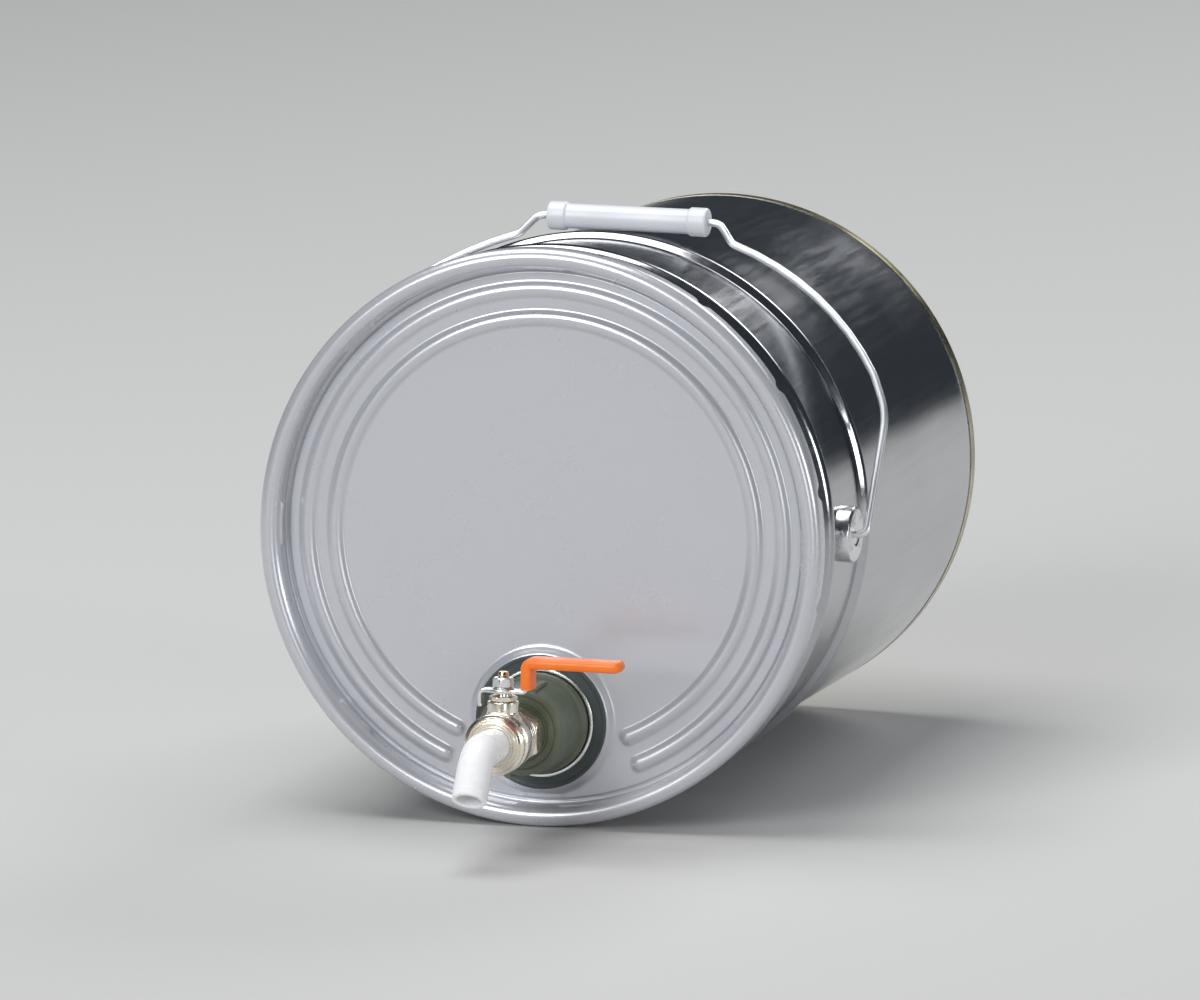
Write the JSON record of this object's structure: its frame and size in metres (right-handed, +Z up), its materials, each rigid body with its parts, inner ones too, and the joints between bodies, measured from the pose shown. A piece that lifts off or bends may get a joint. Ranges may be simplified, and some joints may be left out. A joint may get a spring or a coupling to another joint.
{
  "type": "lug-cover steel drum with dispensing tap",
  "caption": "Lying tapered steel pail with beaded shell, wire bail with plastic grip, pull-off lug cover and a lever ball tap with a swivelling elbow spout.",
  "frame": {"origin": "on the floor that the lying drum rests on, under the middle of the whole assembly's bounding box", "axes": "+Z up; -Y the way the lid and its tap face; +X to the right for someone who looks at the lid. The drum's own axis dips by the taper, 2.44 degrees, towards its bottom"},
  "size_m": [0.318, 0.507, 0.3041],
  "materials": {
    "tinned_steel": "bright tinned sheet, satin along the roll",
    "gold_lacquer": "clear gold lacquer over tinplate",
    "silver_paint": "satin silver-grey coating",
    "zinc_plate": "bright zinc plate",
    "galvanised_wire": "drawn galvanised wire",
    "white_grip": "moulded, semi-gloss",
    "seal_rubber": "matt",
    "olive_plastic": "moulded, satin",
    "nickel_brass": "nickel plate over forged brass",
    "seat_plastic": "fluoropolymer, matt",
    "orange_sleeve": "dipped vinyl, satin",
    "polished_ball": "hard chrome",
    "nozzle_plastic": "translucent white polyethylene"
  },
  "bodies": {
    "drum_body": {"shell": "tinned_steel", "bottom_end": "gold_lacquer", "ear_left": "zinc_plate", "ear_right": "zinc_plate"},
    "bail": {"bail_wire": "galvanised_wire"},
    "grip": {"grip": "white_grip"},
    "lid": {"lid": "silver_paint", "lid_gasket": "seal_rubber", "mouth_ring": "zinc_plate", "mouth_gasket": "seal_rubber", "tap_adapter": "olive_plastic", "adapter_seal": "seal_rubber", "tail_nut": "nickel_brass", "valve_body": "nickel_brass", "outlet_nut": "nickel_brass", "seat_rear": "seat_plastic", "seat_front": "seat_plastic", "stem_packing": "seat_plastic", "packing_nut": "nickel_brass", "nozzle_seal": "seal_rubber"},
    "lever": {"lever_strap": "zinc_plate", "lever_sleeve": "orange_sleeve", "lever_washer": "zinc_plate", "lever_nut": "zinc_plate", "stem": "nickel_brass", "ball": "polished_ball"},
    "nozzle": {"nozzle_elbow": "nozzle_plastic"}
  },
  "joints": [
    {"name": "bail_swing", "type": "hinge", "parent": "drum_body", "child": "bail", "pos_m": [0, -0.04411, 0.14931], "axis": [1, 0, 0], "range_deg": [0, 145]},
    {"name": "grip_spin", "type": "hinge", "parent": "bail", "child": "grip", "pos_m": [0, 0.05524, 0.29276], "axis": [1, 0, 0], "continuous": true},
    {"name": "lid_pull", "type": "slide", "parent": "drum_body", "child": "lid", "axis": [0, -0.9991, 0.0426], "range_m": [0, 0.15]},
    {"name": "lever_turn", "type": "hinge", "parent": "lid", "child": "lever", "pos_m": [0, -0.18316, 0.05714], "axis": [0, 0.0426, 0.9991], "range_deg": [0, 90]},
    {"name": "nozzle_swivel", "type": "hinge", "parent": "lid", "child": "nozzle", "pos_m": [0, -0.22012, 0.05872], "axis": [0, -0.9991, 0.0426], "continuous": true}
  ]
}
